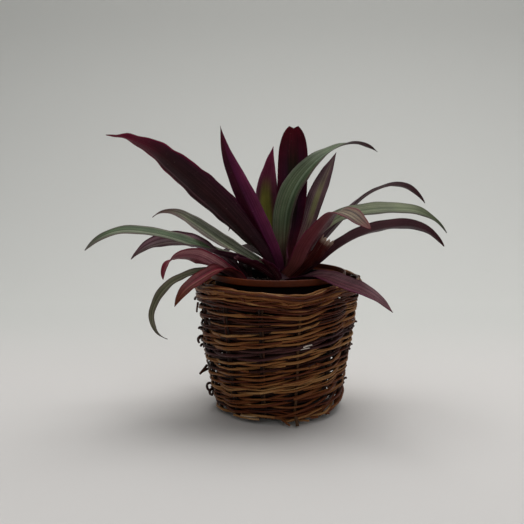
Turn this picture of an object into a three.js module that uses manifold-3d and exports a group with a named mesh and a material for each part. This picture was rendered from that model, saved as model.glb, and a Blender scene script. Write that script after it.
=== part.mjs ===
// Oyster plant (Tradescantia spathacea) in a brown nursery pot that stands in a woven willow basket.
// Millimetres, +Z up, the front towards -Y. The origin is the middle of the basket's underside.

import * as THREE from 'three';
import { mergeVertices } from 'three/addons/utils/BufferGeometryUtils.js';
import Module from 'manifold-3d';

const wasm = await Module();
wasm.setup();

// The gap kept between neighbouring pieces.
const clearance = 0.35;

// Basket. The wall's radius is that of the middle of the weave, where the stakes stand.
const wallHeight = 141.5;
const footRadius = 65.2;
const flare = 22.5;
const bulge = 3;
const stakeCount = 13;
const stakeRadius = 1.9;
const stakeFoot = 0.6;
const firstStake = THREE.MathUtils.degToRad(283.8);
const weaveStart = firstStake + (12 * Math.PI) / stakeCount;
const weaveDepth = 4.5;
const weaveTurns = 25;
const weaveFoot = 3.6;
const weaveDrop = 18.8;
const crowding = 0.15;
const rodCount = 12;
const rodRadius = { low: 2.2, high: 1.6 };
const pairRadius = 2.1;
const pairDrop = 11.8;
const pairRise = 2.8;
const hoopRadius = 2.9;
const hoopSpread = 3.15;
const baseRadius = 56.5;
const baseThickness = 6.4;
// Heights at each stake in turn, from the first one, which serves as a foot: the top of the rim,
// and how far the lowest row rides up.
const rimHeights = [140.5, 147, 147.5, 147.5, 149, 147, 147, 146, 142, 140, 146, 149, 145];
const footRises = [0, 1.5, 8, 7, 5, 4, 4, 4, 4, 4, 4, 3.5, 6.5];

// Pot, soil and stems.
const potTop = 153.6;
const potFoot = 8;
const potRadius = { top: 70.5, foot: 52, band: 75 };
const potBand = 7;
const potWall = 2.2;
const soilLevel = 134.6;
const stemRadius = 9;
const stemFoot = 124;
const crowns = {
  main: { x: 6, y: 0, top: 151 },
  side: { x: -32, y: -8, top: 146 },
};
// A leaf of a higher tier springs from further out on the stem and from lower down.
const tiers = [{ out: 3, down: 3 }, { out: 5, down: 6 }, { out: 6.5, down: 9 }, { out: 8, down: 12 }];

// Leaf blades.
const bladeSteps = 11;
const ribThickness = 1.8;
const marginThickness = 0.9;
const tipWidth = 1.6;

// Leaves from the heart outwards. heading is the way a leaf points, in degrees about +Z from +X.
// slope, roll and fold are in degrees too, in even steps from root to tip. peak is where along its
// length the blade is widest, and neck is the width of its root as a share of the widest.
const leaves = [
  { name: 'leaf_tall_back', crown: 'main', tier: 0, skin: 'dark', heading: 70, length: 172, width: 35,
    slope: [66, 68, 84, 88, 88], roll: [0, 8, 12], fold: [50, 14, 6], peak: 0.6, neck: 0.5, blunt: 4 },
  { name: 'leaf_upright_middle', crown: 'main', tier: 0, skin: 'purple', heading: 120, length: 156,
    width: 36,
    slope: [62, 52, 78, 108, 120], roll: [0, 0, -5], fold: [50, 24, 15], peak: 0.45, neck: 0.5 },
  { name: 'leaf_tall_arch', crown: 'main', tier: 0, heading: 25, length: 226, width: 29,
    slope: [98, 86, 50, 22, -32], roll: [20, 40, 25, 0, -15], fold: [50, 20, 10], peak: 0.4, neck: 0.6 },
  { name: 'leaf_upright_left', crown: 'main', tier: 1, skin: 'purple', heading: 203, length: 179, width: 25,
    slope: [76, 62, 63, 66, 82], roll: [10, 50, 60], fold: [50, 20, 12], peak: 0.45, neck: 0.6 },
  { name: 'leaf_upright_right', crown: 'main', tier: 1, skin: 'purple', heading: 51, length: 171, width: 24,
    slope: [60, 46, 64, 54, 50], roll: [0, 10, 20], fold: [50, 25, 15], peak: 0.5, neck: 0.5 },
  { name: 'leaf_front_folded', crown: 'main', tier: 1, skin: 'purple', heading: 310, length: 158, width: 30,
    slope: [31, 40, 63, 50, 46, 41, -6, -30, -24], roll: [-10, 1, 22], fold: [45, 10, 8], peak: 0.4,
    neck: 0.6, blunt: 3 },
  { name: 'leaf_green_right', crown: 'main', tier: 1, heading: 9, length: 224, width: 29,
    slope: [56, 49, 9, -4, -55], roll: [4, 19, 22, 26, 36], fold: [50, 16, 8],
    peak: 0.5, neck: 0.5, blunt: 2.4 },
  { name: 'leaf_broad_left', crown: 'main', tier: 2, skin: 'dark', heading: 190, length: 249, width: 36,
    slope: [62, 50, 42, 39, 2], roll: [15, 60, 62, 50, 20], fold: [50, 16, 8], peak: 0.48, neck: 0.5 },
  { name: 'leaf_arch_right', crown: 'main', tier: 2, skin: 'dark', heading: 27, length: 234, width: 21,
    slope: [41, 43, 43, 6, -52], roll: [0, -9, -19, -17, -30], fold: [50, 20, 10],
    peak: 0.4, neck: 0.5, blunt: 2.6 },
  { name: 'leaf_dark_right', crown: 'main', tier: 2, skin: 'dark', heading: 353, length: 192, width: 29,
    slope: [23, 43, 24, 0, -58], roll: [-4, -27, -39], fold: [50, 16, 8],
    peak: 0.45, neck: 0.6, blunt: 2.4 },
  { name: 'leaf_middle_left', crown: 'main', tier: 2, heading: 160, length: 178, width: 22,
    slope: [38, 26, 32, 30, -35], roll: [0, -13, -29, -26, -26], fold: [50, 16, 8],
    peak: 0.42, neck: 0.5, blunt: 2.4 },
  { name: 'leaf_long_left', crown: 'main', tier: 3, heading: 190, length: 225, width: 27,
    slope: [41, 19, 21, 6, -49], roll: [0, 6, -16, -18, -36], fold: [50, 16, 8],
    peak: 0.42, neck: 0.5, blunt: 2.6 },
  { name: 'leaf_torn_right', crown: 'main', tier: 3, skin: 'red', heading: 335, length: 69, width: 21,
    slope: [50, 36, 50, 57, 52], roll: [-10, -38, -57], fold: [50, 30, 20], peak: 0.5, neck: 0.8, tip: 17 },
  { name: 'leaf_trailing_right', crown: 'main', tier: 3, skin: 'purple', heading: 303, length: 172,
    width: 18,
    slope: [15, 19, 9, -7, -4, -16, -30], roll: [-4, 20, 32, 17], fold: [50, 12, 6],
    peak: 0.5, neck: 0.7, blunt: 2.4 },
  { name: 'leaf_side_upper', crown: 'side', tier: 1, skin: 'purple', heading: 171, length: 153, width: 26,
    slope: [55, 37, 14, -15, -49], roll: [0, 0, 47, 52, 26], fold: [50, 18, 10],
    peak: 0.4, neck: 0.6, blunt: 2.4 },
  { name: 'leaf_side_front', crown: 'side', tier: 2, skin: 'red', heading: 218, length: 126, width: 25,
    slope: [35, 32, 28, -5, -96], roll: [-20, 14, 38, 35, -13], fold: [50, 18, 10],
    peak: 0.4, neck: 0.6, blunt: 2.8 },
  { name: 'leaf_side_trailing', crown: 'side', tier: 3, heading: 207, length: 164, width: 16,
    slope: [59, 6, -21, -69, -155], roll: [10, -12, -15], fold: [50, 20, 12],
    peak: 0.4, neck: 0.7, blunt: 2.6 },
  { name: 'leaf_side_low', crown: 'side', tier: 3, skin: 'red', heading: 231, length: 124, width: 19,
    slope: [56, 30, -16, -18, -58], roll: [0, -13, -30], fold: [50, 20, 12],
    peak: 0.4, neck: 0.7, blunt: 2.6 },
  { name: 'leaf_back_right', crown: 'main', tier: 2, heading: 68, length: 170, width: 27,
    slope: [62, 26, 4, -20, -46], roll: [0, 5, 0], fold: [50, 18, 10], peak: 0.42, neck: 0.6 },
  { name: 'leaf_back', crown: 'main', tier: 3, heading: 88, length: 165, width: 28,
    slope: [66, 20, 0, -24, -50], roll: [0, -8, 0], fold: [50, 18, 10], peak: 0.42, neck: 0.6 },
  { name: 'leaf_back_middle', crown: 'main', tier: 2, heading: 113, length: 200, width: 27,
    slope: [70, 34, 14, -10, -40], roll: [0, 10, 5], fold: [50, 18, 10], peak: 0.42, neck: 0.6 },
  { name: 'leaf_back_left', crown: 'main', tier: 3, heading: 128, length: 150, width: 24,
    slope: [64, 20, 2, -22, -48], roll: [0, -5, 0], fold: [50, 18, 10], peak: 0.42, neck: 0.6 },
  { name: 'leaf_side_back', crown: 'side', tier: 2, heading: 106, length: 120, width: 20,
    slope: [70, 24, 0, -28, -54], roll: [0, 5, 0], fold: [50, 18, 10], peak: 0.42, neck: 0.6 },
  { name: 'leaf_stub_left', crown: 'main', tier: 3, skin: 'red', heading: 205, length: 60, width: 20,
    slope: [42, 30, 22], roll: [0, 20], fold: [45, 35], peak: 0.5, neck: 0.8, tip: 10 },
  { name: 'leaf_stub_front', crown: 'main', tier: 3, skin: 'red', heading: 222, length: 40, width: 16,
    slope: [60, 46, 38], roll: [0, 10], fold: [45, 35], peak: 0.5, neck: 0.8, tip: 8 },
];

const colours = {
  willow: [
    '#5f3d1f', '#6b4423', '#53351d', '#734a22', '#4c2f1f', '#66411f',
    '#5a3a20', '#3d2119', '#6e4822', '#7a5229', '#5f3d1f', '#70491f',
  ],
  stake: '#4c3320',
  rim: '#74502a',
  base: '#54391f',
  pot: '#40201a',
  soil: '#2a1c15',
  stem: '#4d3038',
  leaf: { dark: '#3a2629', purple: '#552a45', red: '#5e2a31', green: '#5d6b52' },
};

const { degToRad, lerp, clamp } = THREE.MathUtils;
const plant = new THREE.Group();

function place(name, geometry, colour, roughness = 0.8) {
  const material = new THREE.MeshStandardMaterial({ color: colour, roughness, metalness: 0 });
  const mesh = new THREE.Mesh(geometry, material);
  mesh.name = name;
  plant.add(mesh);
  return mesh;
}

// Solids for joins and cuts.
function toSolid(geometry) {
  const bare = geometry.clone();
  bare.deleteAttribute('normal');
  bare.deleteAttribute('uv');
  const merged = mergeVertices(bare, 1e-4);
  const vertProperties = new Float32Array(merged.attributes.position.array);
  const triVerts = new Uint32Array(merged.index.array);
  return new wasm.Manifold(new wasm.Mesh({ numProp: 3, vertProperties, triVerts }));
}

function toGeometry(solid) {
  const mesh = solid.getMesh();
  const geometry = new THREE.BufferGeometry();
  geometry.setAttribute('position', new THREE.BufferAttribute(mesh.vertProperties, 3));
  geometry.setIndex(new THREE.BufferAttribute(mesh.triVerts, 1));
  return geometry;
}

function largestPiece(solid) {
  return solid.decompose().reduce((best, piece) => (piece.volume() > best.volume() ? piece : best));
}

// A path that is sampled in even steps of its own parameter, so that corners and crossings stay
// where they are asked for.
class EvenPath extends THREE.Curve {
  constructor(pointAt) {
    super();
    this.pointAt = pointAt;
  }

  getPoint(t) {
    return this.pointAt(t);
  }

  getPointAt(t) {
    return this.pointAt(t);
  }

  getTangentAt(t) {
    return this.getTangent(t);
  }
}

function rod(pointAt, steps, radius, sides = 5) {
  const corners = Array.from({ length: sides }, (_, i) => {
    const angle = ((i + 0.5) * 2 * Math.PI) / sides;
    return new THREE.Vector2(radius * Math.cos(angle), radius * Math.sin(angle));
  });
  return new THREE.ExtrudeGeometry(new THREE.Shape(corners), { steps, extrudePath: new EvenPath(pointAt) });
}

// A value that passes through a list of values in even steps as t goes from 0 to 1.
function along(values, t) {
  return lerp(...span(values, t));
}

// The two entries of a list on either side of t, and how far t is between them.
function span(list, t) {
  const at = clamp(t, 0, 1) * (list.length - 1);
  const i = Math.min(Math.floor(at), list.length - 2);
  return [list[i], list[i + 1], at - i];
}

function polar(radius, angle, z) {
  return new THREE.Vector3(radius * Math.cos(angle), radius * Math.sin(angle), z);
}

// A value that is given at each stake and eases from one stake to the next.
function roundStakes(values, angle) {
  const turn = (angle - firstStake) / (2 * Math.PI);
  const [from, to, t] = span([...values, values[0]], turn - Math.floor(turn));
  return lerp(from, to, THREE.MathUtils.smoothstep(t, 0, 1));
}

// The rim is uneven, as hand weaving is: lowest at the left and just right of the front.
function rimTop(angle) {
  return roundStakes(rimHeights, angle);
}

// The wall flares upwards, and swells a little on the left.
function wallRadius(z, angle) {
  const up = Math.max(z, 0) / wallHeight;
  const swell = bulge * Math.max(-Math.cos(angle), 0) ** 2 * Math.sin(Math.PI * up);
  return footRadius + flare * up ** 0.85 + swell;
}

function footRise(angle) {
  return roundStakes(footRises, angle);
}

function stakeAngle(i) {
  return firstStake + (i * 2 * Math.PI) / stakeCount;
}

// Weavers pass in front of one stake and behind the next. The stakes are odd in number, so each
// turn of the spiral lies on the other side of them from the turn below.
function swing(angle) {
  return Math.cos((stakeCount * (angle - firstStake)) / 2);
}

function weaverPoint(turn) {
  const angle = weaveStart + 2 * Math.PI * turn;
  const share = turn / weaveTurns;
  const rise = share + crowding * share * (1 - share);
  const z = lerp(weaveFoot + footRise(angle), rimTop(angle) - weaveDrop, rise);
  return polar(wallRadius(z, angle) + weaveDepth * swing(angle), angle, z);
}

function makeWeavers() {
  const halfSteps = weaveTurns * stakeCount * 2;
  for (let i = 0; i < rodCount; i++) {
    const from = Math.round((i * halfSteps) / rodCount);
    const to = Math.round(((i + 1) * halfSteps) / rodCount);
    const steps = to - from;
    const end = i + 1 < rodCount ? 0.06 : 0;
    const radius = lerp(rodRadius.low, rodRadius.high, i / (rodCount - 1));
    const pointAt = (t) => weaverPoint((from + Math.min(t * steps, steps - end)) / (2 * stakeCount));
    place(`weaver_${i + 1}`, rod(pointAt, steps, radius), colours.willow[i]);
  }
}

// Stakes stand round the base, inside the spiral, and end under the border.
function makeStakesAndBase() {
  for (let i = 0; i < stakeCount; i++) {
    const angle = stakeAngle(i);
    const top = rimTop(angle) - 2 * hoopRadius - clearance;
    const points = [stakeFoot, 12, 30, 55, 80, 108, top].map((z) => polar(wallRadius(z, angle), angle, z));
    const pointAt = (t) => new THREE.Vector3().lerpVectors(...span(points, t));
    place(`stake_${i + 1}`, rod(pointAt, points.length - 1, stakeRadius), colours.stake);
  }
  const outline = [
    [0, 0], [baseRadius - 2, 0], [baseRadius, 2], [baseRadius, baseThickness - 2],
    [baseRadius - 3, baseThickness], [0, baseThickness],
  ].map(([x, y]) => new THREE.Vector2(x, y));
  place('basket_base', new THREE.LatheGeometry(outline, 39).rotateX(Math.PI / 2), colours.base);
}

// Two rods twine about the stake tops, each in front of one and behind the next, and two hoops
// side by side lie on top of them as the border.
function makeRim() {
  const steps = stakeCount * 2;
  [1, -1].forEach((side, i) => {
    const pointAt = (t) => {
      const angle = firstStake + Math.PI / stakeCount + 2 * Math.PI * lerp(0.001, 0.999, t);
      const twist = (stakeCount * (angle - firstStake)) / 2;
      const z = rimTop(angle) - pairDrop + side * pairRise * Math.sin(twist);
      return polar(wallRadius(z, angle) + side * weaveDepth * Math.cos(twist), angle, z);
    };
    place(`rim_pair_${i + 1}`, rod(pointAt, steps, pairRadius), colours.rim);
  });
  [1, -1].forEach((side, i) => {
    const pointAt = (t) => {
      const angle = 2 * Math.PI * lerp(0.0015, 0.9985, t) + Math.PI * (0.5 + i);
      const z = rimTop(angle) - hoopRadius;
      return polar(wallRadius(z, angle) + side * hoopSpread, angle, z);
    };
    place(`rim_hoop_${i + 1}`, rod(pointAt, 44, hoopRadius), colours.rim);
  });
}

function potRadiusAt(z) {
  return lerp(potRadius.foot, potRadius.top, (z - potFoot) / (potTop - potBand - potFoot));
}

function makePot() {
  const bandFoot = potTop - potBand;
  const inside = potFoot + potWall;
  const profile = [
    [0, potFoot], [potRadius.foot, potFoot], [potRadius.top, bandFoot - 2], [potRadius.band, bandFoot],
    [potRadius.band, potTop - 1], [potRadius.band - 1, potTop], [potRadius.band - potWall, potTop],
    [potRadius.band - potWall, bandFoot + 2], [potRadius.top - potWall, bandFoot - 1],
    [potRadiusAt(inside) - potWall, inside], [0, inside],
  ].map(([x, y]) => new THREE.Vector2(x, y));
  place('pot', new THREE.LatheGeometry(profile, 40).rotateX(Math.PI / 2), colours.pot, 0.5);
}

// The soil fills the pot. Its top is lumpy, and each stem stands in a plain hole in it.
function makeSoil() {
  const floor = potFoot + potWall + clearance;
  const rings = [0.3, 0.6, 0.85];
  const wall = potRadiusAt(soilLevel) - potWall - clearance;
  const lump = (r, a) => 1.6 * Math.sin(0.11 * r + 3 * a) * Math.cos(0.17 * r - 5 * a) - 0.8;
  const profile = [
    [0, floor], [potRadiusAt(floor) - potWall - clearance, floor], [wall, soilLevel],
    ...rings.toReversed().map((share) => [wall * share, soilLevel]), [0, soilLevel],
  ].map(([x, y]) => new THREE.Vector2(x, y));
  const geometry = new THREE.LatheGeometry(profile, 40).rotateX(Math.PI / 2);
  const position = geometry.attributes.position;
  for (let i = 0; i < position.count; i++) {
    const r = Math.hypot(position.getX(i), position.getY(i));
    const a = Math.atan2(position.getY(i), position.getX(i));
    const loose = position.getZ(i) > soilLevel - 1 && r > 1 && r < wall - 1;
    if (loose) position.setZ(i, soilLevel + lump(r, a));
  }
  let soil = toSolid(geometry);
  for (const crown of Object.values(crowns)) {
    soil = soil.subtract(toSolid(stemShape(crown, clearance)));
  }
  place('soil', toGeometry(soil), colours.soil, 1);
}

function stemShape(crown, spare = 0) {
  const radius = stemRadius + spare;
  const profile = [
    [0, stemFoot - spare], [radius, stemFoot - spare], [radius, crown.top - 6],
    [radius * 0.6, crown.top + spare], [0, crown.top + spare],
  ].map(([x, y]) => new THREE.Vector2(x, y));
  return new THREE.LatheGeometry(profile, 14).rotateX(Math.PI / 2).translate(crown.x, crown.y, 0);
}

// The half width of a blade at s along it: a broad root, a full middle and a tapering tip.
function halfWidth(leaf, s) {
  const tip = (leaf.tip ?? tipWidth) / 2;
  const full = leaf.width / 2;
  if (s < leaf.peak) return full * lerp(leaf.neck, 1, Math.sin((Math.PI * s) / (2 * leaf.peak)));
  const u = (s - leaf.peak) / (1 - leaf.peak);
  const blunt = leaf.blunt ?? 2;
  return Math.max(full * (1 - u ** blunt) ** (2.3 / blunt), tip);
}

// The midrib's points and its own axes: across the blade, and out of its upper face.
function midrib(leaf, steps) {
  const crown = crowns[leaf.crown];
  const tier = tiers[leaf.tier];
  const heading = degToRad(leaf.heading);
  const point = polar(tier.out, heading, crown.top - tier.down);
  point.x += crown.x;
  point.y += crown.y;
  const fine = 8;
  const across = new THREE.Vector3(-Math.sin(heading), Math.cos(heading), 0);
  const frames = [];
  for (let i = 0; i <= steps * fine; i++) {
    const s = i / (steps * fine);
    const slope = degToRad(along(leaf.slope, s));
    const level = Math.cos(slope);
    const tangent = polar(level, heading, Math.sin(slope));
    if (i % fine === 0) {
      const up = tangent.clone().cross(across);
      const roll = degToRad(along(leaf.roll, s));
      const side = across.clone().multiplyScalar(Math.cos(roll)).addScaledVector(up, Math.sin(roll));
      const face = tangent.clone().cross(side);
      frames.push({ s, point: point.clone(), tangent, side, face });
    }
    point.addScaledVector(tangent, leaf.length / (steps * fine));
  }
  return frames;
}

// A closed blade with a folded section: rib and margins on the upper face, then on the lower one.
// spare makes it bigger all round, to cut the room it needs out of a neighbour.
function bladeShape(leaf, spare = 0) {
  const rings = midrib(leaf, bladeSteps).map(({ s, point, tangent, side, face }, i) => {
    const half = halfWidth(leaf, s) + spare;
    const fold = degToRad(along(leaf.fold, s));
    const rib = (ribThickness * lerp(1, 0.55, s)) / 2 + spare;
    const edge = marginThickness / 2 + spare;
    const end = i === 0 ? -spare : i === bladeSteps ? spare : 0;
    const middle = point.clone().addScaledVector(tangent, end);
    const margin = (sign) => middle.clone()
      .addScaledVector(side, sign * half * Math.cos(fold))
      .addScaledVector(face, half * Math.sin(fold));
    const normal = (sign) => face.clone().multiplyScalar(Math.cos(fold))
      .addScaledVector(side, -sign * Math.sin(fold));
    const top = [
      margin(-1).addScaledVector(normal(-1), edge),
      middle.clone().addScaledVector(face, rib),
      margin(1).addScaledVector(normal(1), edge),
    ];
    const bottom = [
      margin(1).addScaledVector(normal(1), -edge),
      middle.clone().addScaledVector(face, -rib),
      margin(-1).addScaledVector(normal(-1), -edge),
    ];
    return [...top, ...bottom];
  });
  return loft(rings);
}

// A closed skin over rings of six points, three above and three below.
function loft(rings) {
  const sides = 6;
  const index = [];
  const quad = (a, b, c, d) => index.push(a, b, c, a, c, d);
  for (let i = 0; i + 1 < rings.length; i++) {
    for (let j = 0; j < sides; j++) {
      const a = i * sides + j;
      const b = i * sides + ((j + 1) % sides);
      quad(a, a + sides, b + sides, b);
    }
  }
  const last = (rings.length - 1) * sides;
  quad(0, 1, 4, 5);
  quad(1, 2, 3, 4);
  quad(last + 1, last, last + 5, last + 4);
  quad(last + 2, last + 1, last + 4, last + 3);
  const geometry = new THREE.BufferGeometry().setFromPoints(rings.flat());
  geometry.setIndex(index);
  return geometry;
}

// Leaves sheathe the stem in turn, so each one is cut clear of the stems and of the leaves inside it.
function makePlant() {
  const cutters = [];
  for (const [name, crown] of Object.entries(crowns)) {
    place(`stem_${name}`, stemShape(crown), colours.stem);
    cutters.push(toSolid(stemShape(crown, clearance)));
  }
  for (const leaf of leaves) {
    let blade = toSolid(bladeShape(leaf));
    for (const cutter of cutters) blade = blade.subtract(cutter);
    place(leaf.name, toGeometry(largestPiece(blade)), colours.leaf[leaf.skin ?? 'green'], 0.5);
    cutters.push(toSolid(bladeShape(leaf, clearance)));
  }
}

makeWeavers();
makeStakesAndBase();
makeRim();
makePot();
makeSoil();
makePlant();

export default plant;
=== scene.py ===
import math
import random

import bpy
import bmesh
import numpy as np
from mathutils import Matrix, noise


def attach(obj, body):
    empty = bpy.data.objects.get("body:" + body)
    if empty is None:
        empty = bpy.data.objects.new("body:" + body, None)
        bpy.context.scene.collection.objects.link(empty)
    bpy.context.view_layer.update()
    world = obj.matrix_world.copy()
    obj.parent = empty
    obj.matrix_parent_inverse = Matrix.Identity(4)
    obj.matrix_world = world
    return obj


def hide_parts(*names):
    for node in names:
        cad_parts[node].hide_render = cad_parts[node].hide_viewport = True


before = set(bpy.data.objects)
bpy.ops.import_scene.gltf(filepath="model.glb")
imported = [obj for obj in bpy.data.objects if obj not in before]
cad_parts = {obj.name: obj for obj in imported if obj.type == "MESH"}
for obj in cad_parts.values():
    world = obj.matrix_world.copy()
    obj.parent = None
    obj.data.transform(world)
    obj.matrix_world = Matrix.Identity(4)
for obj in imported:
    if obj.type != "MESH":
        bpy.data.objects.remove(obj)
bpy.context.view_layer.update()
mm = 0.001


def paint(code):  # a '#rrggbb' code as linear colour
    parts = [int(code[i:i + 2], 16) / 255 for i in (1, 3, 5)]
    return [c / 12.92 if c <= 0.04045 else ((c + 0.055) / 1.055) ** 2.4 for c in parts] + [1.0]


def along(values, t):  # a value that passes evenly through a list as t goes from 0 to 1
    return np.interp(t, np.linspace(0, 1, len(values)), values)


def smooth(t):
    t = np.clip(t, 0, 1)
    return t * t * (3 - 2 * t)


def newObject(name, mesh):
    piece = bpy.data.objects.new(name, mesh)
    bpy.context.scene.collection.objects.link(piece)
    return piece


def newMesh(name, points, faces, materials=(), edges=()):
    mesh = bpy.data.meshes.new(name)
    mesh.from_pydata(points, edges, faces)
    for material in materials:
        mesh.materials.append(material)
    return mesh


def closeShell(mesh, angle=50):  # faces outwards, smooth but for the real edges
    shell = bmesh.new()
    shell.from_mesh(mesh)
    bmesh.ops.remove_doubles(shell, verts=shell.verts, dist=1e-7)
    bmesh.ops.recalc_face_normals(shell, faces=shell.faces)
    shell.to_mesh(mesh)
    shell.free()
    mesh.shade_smooth()
    mesh.set_sharp_from_angle(angle=math.radians(angle))


def finishPiece(name, mesh, slotName, nodes, sharpFrom=None):
    piece = newObject(name, mesh)
    if sharpFrom:
        closeShell(mesh, sharpFrom)
    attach(piece, "root")
    if nodes:
        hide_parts(*nodes)


class NodeTree:  # a thin layer over a node tree
    def __init__(self, tree):
        self.tree = tree

    def node(self, kind, inputs=None, **settings):
        made = self.tree.nodes.new(kind)
        for key, value in settings.items():
            setattr(made, key, value)
        for key, value in (inputs or {}).items():
            self.feed(made.inputs[key], value)
        return made

    def feed(self, socket, value):
        if isinstance(value, bpy.types.NodeSocket):
            self.tree.links.new(value, socket)
        else:
            socket.default_value = value

    def result(self, kind, inputs=None, **settings):
        return self.node(kind, inputs, **settings).outputs[0]

    def maths(self, operation, *values, clamp=False):
        return self.result("ShaderNodeMath", dict(enumerate(values)), operation=operation, use_clamp=clamp)

    def times(self, a, b):
        return self.maths("MULTIPLY", a, b)

    def plus(self, a, b, clamp=False):
        return self.maths("ADD", a, b, clamp=clamp)

    def centred(self, value, size):  # a value from 0 to 1 becomes a swing of that size about nought
        return self.times(self.maths("SUBTRACT", value, 0.5), size)


class Finish(NodeTree):  # a material over the Principled shader
    def __init__(self, name, **fixed):
        self.material = bpy.data.materials.new(name)
        self.material.use_nodes = True
        super().__init__(self.material.node_tree)
        self.shader = self.tree.nodes["Principled BSDF"]
        for socket, value in fixed.items():
            self.shader.inputs[socket.replace("_", " ")].default_value = value

    def mix(self, share, a, b, blend="MIX"):
        a, b = (paint(tone) if isinstance(tone, str) else tone for tone in (a, b))
        inputs = {0: share, 6: a, 7: b}
        return self.node("ShaderNodeMix", inputs, data_type="RGBA", blend_type=blend).outputs[2]

    def ramp(self, value, stops):  # stops: the tone at each place
        made = self.node("ShaderNodeValToRGB", {"Fac": value})
        ends = made.color_ramp.elements
        while len(ends) < len(stops):
            ends.new(0.5)
        for end, (place, tone) in zip(ends, stops.items()):
            end.position = place
            end.color = paint(tone) if isinstance(tone, str) else [tone] * 3 + [1]
        return made.outputs["Color"]

    def step(self, value, low, high, full=1.0):  # 0 below low, full above high, smooth between
        inputs = {0: value, 1: low, 2: high, 4: full}
        return self.result("ShaderNodeMapRange", inputs, interpolation_type="SMOOTHSTEP")

    def noise(self, vector, scale, detail=3.0, roughness=0.55, stretch=None):
        if stretch:
            vector = self.result("ShaderNodeMapping", {"Vector": vector, "Scale": stretch})
        inputs = {"Vector": vector, "Scale": scale, "Detail": detail, "Roughness": roughness}
        return self.result("ShaderNodeTexNoise", inputs)

    def noises(self, vector, settings, *kinds):
        return [self.noise(vector, **settings[kind]) for kind in kinds]

    def objectSpace(self):
        return self.node("ShaderNodeTexCoord").outputs["Object"]

    def objectAxis(self, axis):
        return self.node("ShaderNodeSeparateXYZ", {0: self.objectSpace()}).outputs[axis]

    def attribute(self, name):
        return self.node("ShaderNodeAttribute", attribute_name=name).outputs

    # rough: (value, roughness at 0, roughness at 1); bump: (height, strength, distance)
    def coat(self, colour, rough=None, bump=None):
        self.feed(self.shader.inputs["Base Color"], colour)
        if rough:
            spread = self.result("ShaderNodeMapRange", dict(zip((0, 3, 4), rough)))
            self.feed(self.shader.inputs["Roughness"], spread)
        if bump:
            relief = self.result("ShaderNodeBump", dict(zip(("Height", "Strength", "Distance"), bump)))
            self.feed(self.shader.inputs["Normal"], relief)
        return self.material


class Growth(NodeTree):  # a Geometry Nodes tree with named inputs for its sizes
    def __init__(self, name, start, sizes, coat):
        super().__init__(bpy.data.node_groups.new(name, "GeometryNodeTree"))
        self.coat = coat
        self.socket(start, "Geometry")
        for label, value in sizes.items():
            self.socket(label, "Int" if isinstance(value, int) else "Float").default_value = value
        self.socket(coat, "Material")
        self.asked = self.node("NodeGroupInput").outputs

    def socket(self, label, kind, way="INPUT"):
        return self.tree.interface.new_socket(label, in_out=way, socket_type="NodeSocket" + kind)

    def end(self, label, geometry):
        whole = self.result("GeometryNodeRealizeInstances", {0: geometry})
        inputs = {"Geometry": whole, "Material": self.asked[self.coat]}
        self.socket(label, "Geometry", "OUTPUT")
        self.node("NodeGroupOutput", {0: self.result("GeometryNodeSetMaterial", inputs)})

    def grow(self, mesh, material, **sizes):  # what the tree makes of a mesh, as a plain mesh
        carrier = newObject("carrier", mesh)
        modifier = carrier.modifiers.new("growth", "NODES")
        modifier.node_group = self.tree
        chosen = {self.coat: material, **sizes}
        for item in self.tree.interface.items_tree:
            if item.in_out == "INPUT" and item.name in chosen:
                modifier[item.identifier] = chosen[item.name]
        grown = carrier.evaluated_get(bpy.context.evaluated_depsgraph_get())
        result = bpy.data.meshes.new_from_object(grown)
        bpy.data.objects.remove(carrier)
        return result


willow = {
    "weaver": {"tones": {0: "#200a05", 0.14: "#381407", 0.32: "#5e270c", 0.5: "#743e18", 0.72: "#9c6838",
                         0.9: "#ba905e", 1: "#e0d4c8"}, "rough": (0.34, 0.55)},
    # the stakes' darker tones are partly painted shade, darkening the gaps between the rows where they show
    "stake": {"tones": {0: "#140905", 0.5: "#2c170d", 1: "#5c3e26"}, "rough": (0.5, 0.75)},
    "streaks": dict(stretch=(1.6, 1.6, 0.035), scale=2.2, detail=4.0, roughness=0.6),
    "patches": dict(stretch=(0.25, 0.25, 0.02), scale=1.6, detail=2.0),
    "fine": dict(stretch=(3.5, 3.5, 0.25), scale=3.0, roughness=0.65),
    "blush": dict(stretch=(0.1, 0.1, 0.012), scale=1.3),
    "purple": {0.3: "#2c1312", 0.65: "#583130"},  # the bark of rods whose tint is below nought
    "red": "#551f10", "dirt": "#1c0b05",
}


def makeWillowFinish(name, tones, rough):
    finish = Finish(name, Specular_IOR_Level=0.2)
    plus, centred, step, mix, ramp = finish.plus, finish.centred, finish.step, finish.mix, finish.ramp
    space, tint = finish.attribute("rodSpace")["Vector"], finish.attribute("rodTint")["Fac"]
    streaks, patches, fine, blush = finish.noises(space, willow, "streaks", "patches", "fine", "blush")
    tone = plus(plus(tint, centred(patches, 0.55)), centred(streaks, 0.4), clamp=True)
    bark = mix(step(tint, -0.05, -0.2), ramp(tone, tones), ramp(streaks, willow["purple"]))
    bark = mix(step(blush, 0.52, 0.68, 0.55), bark, willow["red"])
    bark = mix(step(fine, 0.42, 0.7, 0.55), bark, willow["dirt"])
    return finish.coat(bark, (streaks, *rough), (plus(fine, streaks), 0.35, 0.0006))


rods = {
    "inputs": {"Taper": 0.25, "Unevenness": 0.2, "Drift": 0.0006, "Knot Size": 0.12, "Sides": 8, "Seed": 1},
    "swellScale": 45.0, "swayScale": 60.0, "knotSpacing": 42.0, "knotSharpness": 60.0,
    "tintApart": 7.0, "grainApart": 900.0,  # rods of other tints swell and streak in other places
}


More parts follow.
